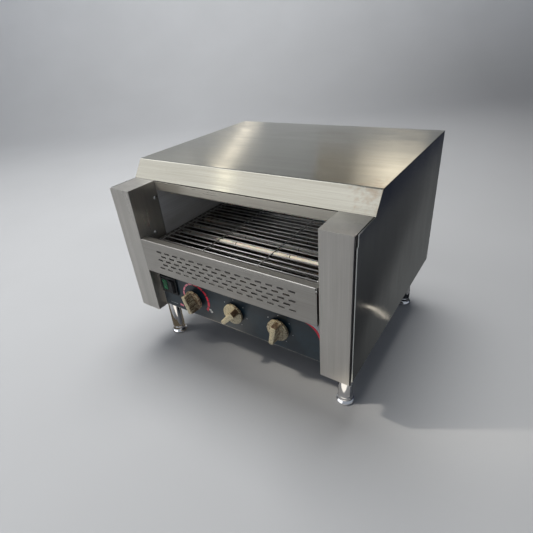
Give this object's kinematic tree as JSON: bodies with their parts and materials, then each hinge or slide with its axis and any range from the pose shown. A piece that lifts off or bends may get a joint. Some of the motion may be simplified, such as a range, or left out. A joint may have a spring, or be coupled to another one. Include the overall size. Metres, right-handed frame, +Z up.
{
  "type": "conveyor toaster",
  "caption": "Counter-top conveyor toaster: slotted front guard, wire belt under a sloping hood, quartz heaters, three turn knobs and a rocker, on round legs.",
  "frame": {"origin": "on the floor, below the middle of the whole toaster", "axes": "+Z up, -Y towards the user at the controls, +X to the right of someone facing the controls"},
  "size_m": [0.474, 0.452, 0.386],
  "materials": {
    "shell_steel": "brushed along the sheet, slightly dulled",
    "inner_steel": "mill finish, heat-stained near the tubes",
    "bright_steel": "bright rolled sheet",
    "leg_chrome": "polished, lightly scuffed",
    "black_fascia": "printed film, satin",
    "black_plastic": "moulded",
    "knob_plastic": "moulded, browned by heat",
    "rocker_green": "translucent lens in a black rocker",
    "quartz": "frosted quartz",
    "ceramic": "unglazed ceramic",
    "belt_wire": "drawn wire, heat-stained",
    "bronze": "sintered bronze",
    "motor_paint": "satin paint",
    "chain_steel": "oiled steel"
  },
  "bodies": {
    "housing": {"base_pan": "inner_steel", "left_inner_wall": "inner_steel", "right_inner_wall": "inner_steel", "left_side_panel": "shell_steel", "right_side_panel": "shell_steel", "left_front_pillar": "shell_steel", "right_front_pillar": "shell_steel", "hood": "shell_steel", "front_lintel": "shell_steel", "front_guard": "shell_steel", "control_panel": "shell_steel", "control_fascia": "black_fascia", "rear_panel": "shell_steel", "discharge_slide": "bright_steel", "heat_shield": "inner_steel", "tray_runners": "inner_steel", "upper_reflector": "bright_steel", "lower_reflector": "bright_steel", "upper_heater_tubes": "quartz", "lower_heater_tubes": "quartz", "tube_holders": "ceramic", "belt_frame_left": "inner_steel", "belt_frame_right": "inner_steel", "belt_frame_ties": "inner_steel", "shaft_bushes": "bronze", "conveyor_belt": "belt_wire", "gear_motor": "motor_paint", "motor_bracket": "inner_steel", "drive_chain": "chain_steel", "speed_controller": "black_plastic", "upper_heat_switch": "ceramic", "lower_heat_switch": "ceramic", "switch_housing": "black_plastic", "terminal_block": "ceramic", "cable_gland": "black_plastic", "panel_screws": "bright_steel", "leg_front_left": "leg_chrome", "leg_front_right": "leg_chrome", "leg_rear_left": "leg_chrome", "leg_rear_right": "leg_chrome", "leg_bolts": "inner_steel"},
    "drive_axle": {"drive_shaft": "bright_steel", "drive_belt_wheels": "chain_steel", "driven_chain_wheel": "chain_steel"},
    "idler_axle": {"idler_shaft": "bright_steel", "idler_belt_wheels": "chain_steel"},
    "motor_wheel": {"motor_chain_wheel": "chain_steel"},
    "speed_dial": {"speed_knob": "knob_plastic", "speed_spindle": "bright_steel"},
    "upper_heat_dial": {"upper_heat_knob": "knob_plastic", "upper_heat_spindle": "bright_steel"},
    "lower_heat_dial": {"lower_heat_knob": "knob_plastic", "lower_heat_spindle": "bright_steel"},
    "power_switch": {"power_rocker": "rocker_green"},
    "tray": {"crumb_tray": "bright_steel", "crumb_tray_handle": "shell_steel"},
    "level_foot_fl": {"foot_front_left": "leg_chrome"},
    "level_foot_fr": {"foot_front_right": "leg_chrome"},
    "level_foot_rl": {"foot_rear_left": "leg_chrome"},
    "level_foot_rr": {"foot_rear_right": "leg_chrome"}
  },
  "joints": [
    {"name": "drive_axle_spin", "type": "hinge", "parent": "housing", "child": "drive_axle", "pos_m": [0, 0.15755, 0.22691], "axis": [-1, 0, 0], "continuous": true},
    {"name": "idler_axle_spin", "type": "hinge", "parent": "housing", "child": "idler_axle", "pos_m": [0, -0.17995, 0.22691], "axis": [-1, 0, 0], "continuous": true},
    {"name": "motor_wheel_spin", "type": "hinge", "parent": "housing", "child": "motor_wheel", "pos_m": [0.2002, 0.11905, 0.1395], "axis": [-1, 0, 0], "continuous": true},
    {"name": "speed_dial_turn", "type": "hinge", "parent": "housing", "child": "speed_dial", "pos_m": [-0.086, -0.20695, 0.149], "axis": [0, 1, 0], "range_deg": [-115, 155]},
    {"name": "upper_heat_dial_turn", "type": "hinge", "parent": "housing", "child": "upper_heat_dial", "pos_m": [0.0075, -0.20695, 0.149], "axis": [0, 1, 0], "range_deg": [-278.5, 30.1]},
    {"name": "lower_heat_dial_turn", "type": "hinge", "parent": "housing", "child": "lower_heat_dial", "pos_m": [0.101, -0.20695, 0.149], "axis": [0, 1, 0], "range_deg": [-245.5, 63.1]},
    {"name": "power_switch_tilt", "type": "hinge", "parent": "housing", "child": "power_switch", "pos_m": [-0.1535, -0.19645, 0.161], "axis": [0, 0, 1], "range_deg": [0, 16]},
    {"name": "tray_slide", "type": "slide", "parent": "housing", "child": "tray", "axis": [0, 1, 0], "range_m": [0, 0.3]},
    {"name": "level_foot_fl_slide", "type": "slide", "parent": "housing", "child": "level_foot_fl", "axis": [0, 0, -1], "range_m": [0, 0.015]},
    {"name": "level_foot_fr_slide", "type": "slide", "parent": "housing", "child": "level_foot_fr", "axis": [0, 0, -1], "range_m": [0, 0.015]},
    {"name": "level_foot_rl_slide", "type": "slide", "parent": "housing", "child": "level_foot_rl", "axis": [0, 0, -1], "range_m": [0, 0.015]},
    {"name": "level_foot_rr_slide", "type": "slide", "parent": "housing", "child": "level_foot_rr", "axis": [0, 0, -1], "range_m": [0, 0.015]}
  ],
  "couplings": [
    {"joint": "idler_axle_spin", "follows": "drive_axle_spin", "ratio": 1},
    {"joint": "motor_wheel_spin", "follows": "drive_axle_spin", "ratio": 2}
  ]
}
